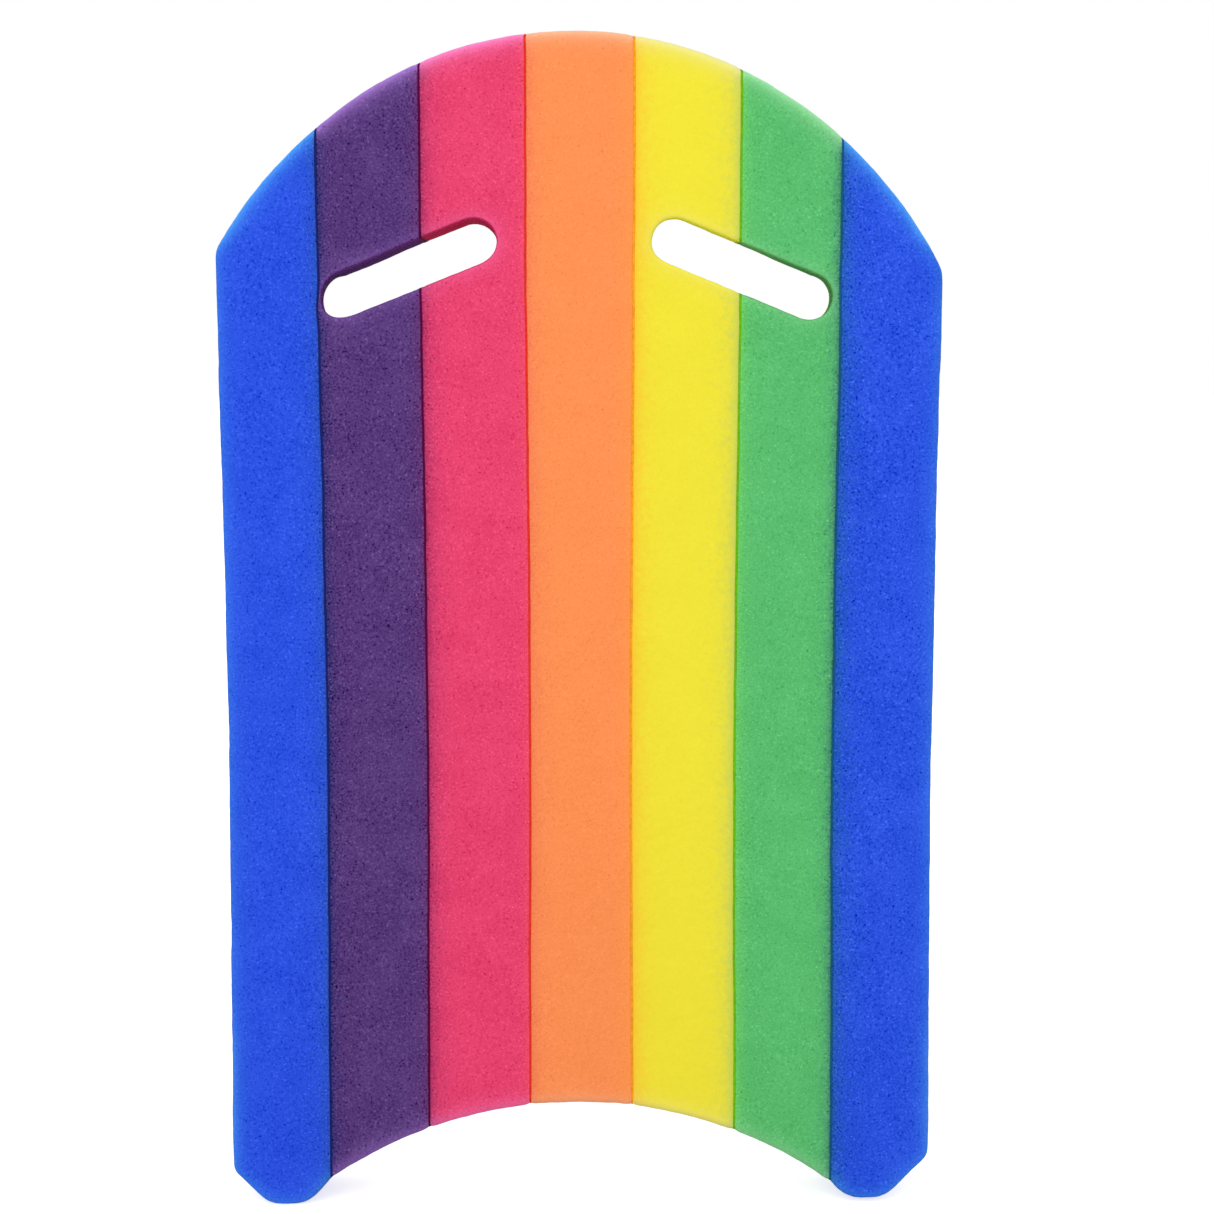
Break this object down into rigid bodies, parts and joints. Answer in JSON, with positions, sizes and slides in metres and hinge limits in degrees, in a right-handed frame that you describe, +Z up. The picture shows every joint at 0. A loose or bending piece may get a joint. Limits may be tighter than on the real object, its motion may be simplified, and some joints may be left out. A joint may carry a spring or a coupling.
{
  "type": "kickboard float",
  "caption": "Flat foam kickboard of joined coloured planks, with a rounded nose, a tail hollowed between its feet, and tilted hand slots to hold it by while kicking.",
  "frame": {"origin": "midway between the sides and midway between the two faces, at the height of the lower tail foot", "axes": "+Z up from the tail feet to the rounded nose, +X across the planks from the purple side to the green side, -Y out of the front face"},
  "size_m": [0.289, 0.038, 0.48],
  "materials": {
    "foam_blue": "matte",
    "foam_purple": "matte",
    "foam_pink": "matte",
    "foam_orange": "matte",
    "foam_yellow": "matte",
    "foam_green": "matte",
    "weld_navy": "matte",
    "weld_maroon": "matte",
    "weld_red": "matte",
    "weld_amber": "matte",
    "weld_leaf": "matte",
    "weld_teal": "matte"
  },
  "bodies": {
    "root": {"plank_blue_left": "foam_blue", "plank_purple": "foam_purple", "plank_pink": "foam_pink", "plank_orange": "foam_orange", "plank_yellow": "foam_yellow", "plank_green": "foam_green", "plank_blue_right": "foam_blue", "weld_blue_purple": "weld_navy", "weld_purple_pink": "weld_maroon", "weld_pink_orange": "weld_red", "weld_orange_yellow": "weld_amber", "weld_yellow_green": "weld_leaf", "weld_green_blue": "weld_teal"}
  },
  "joints": []
}
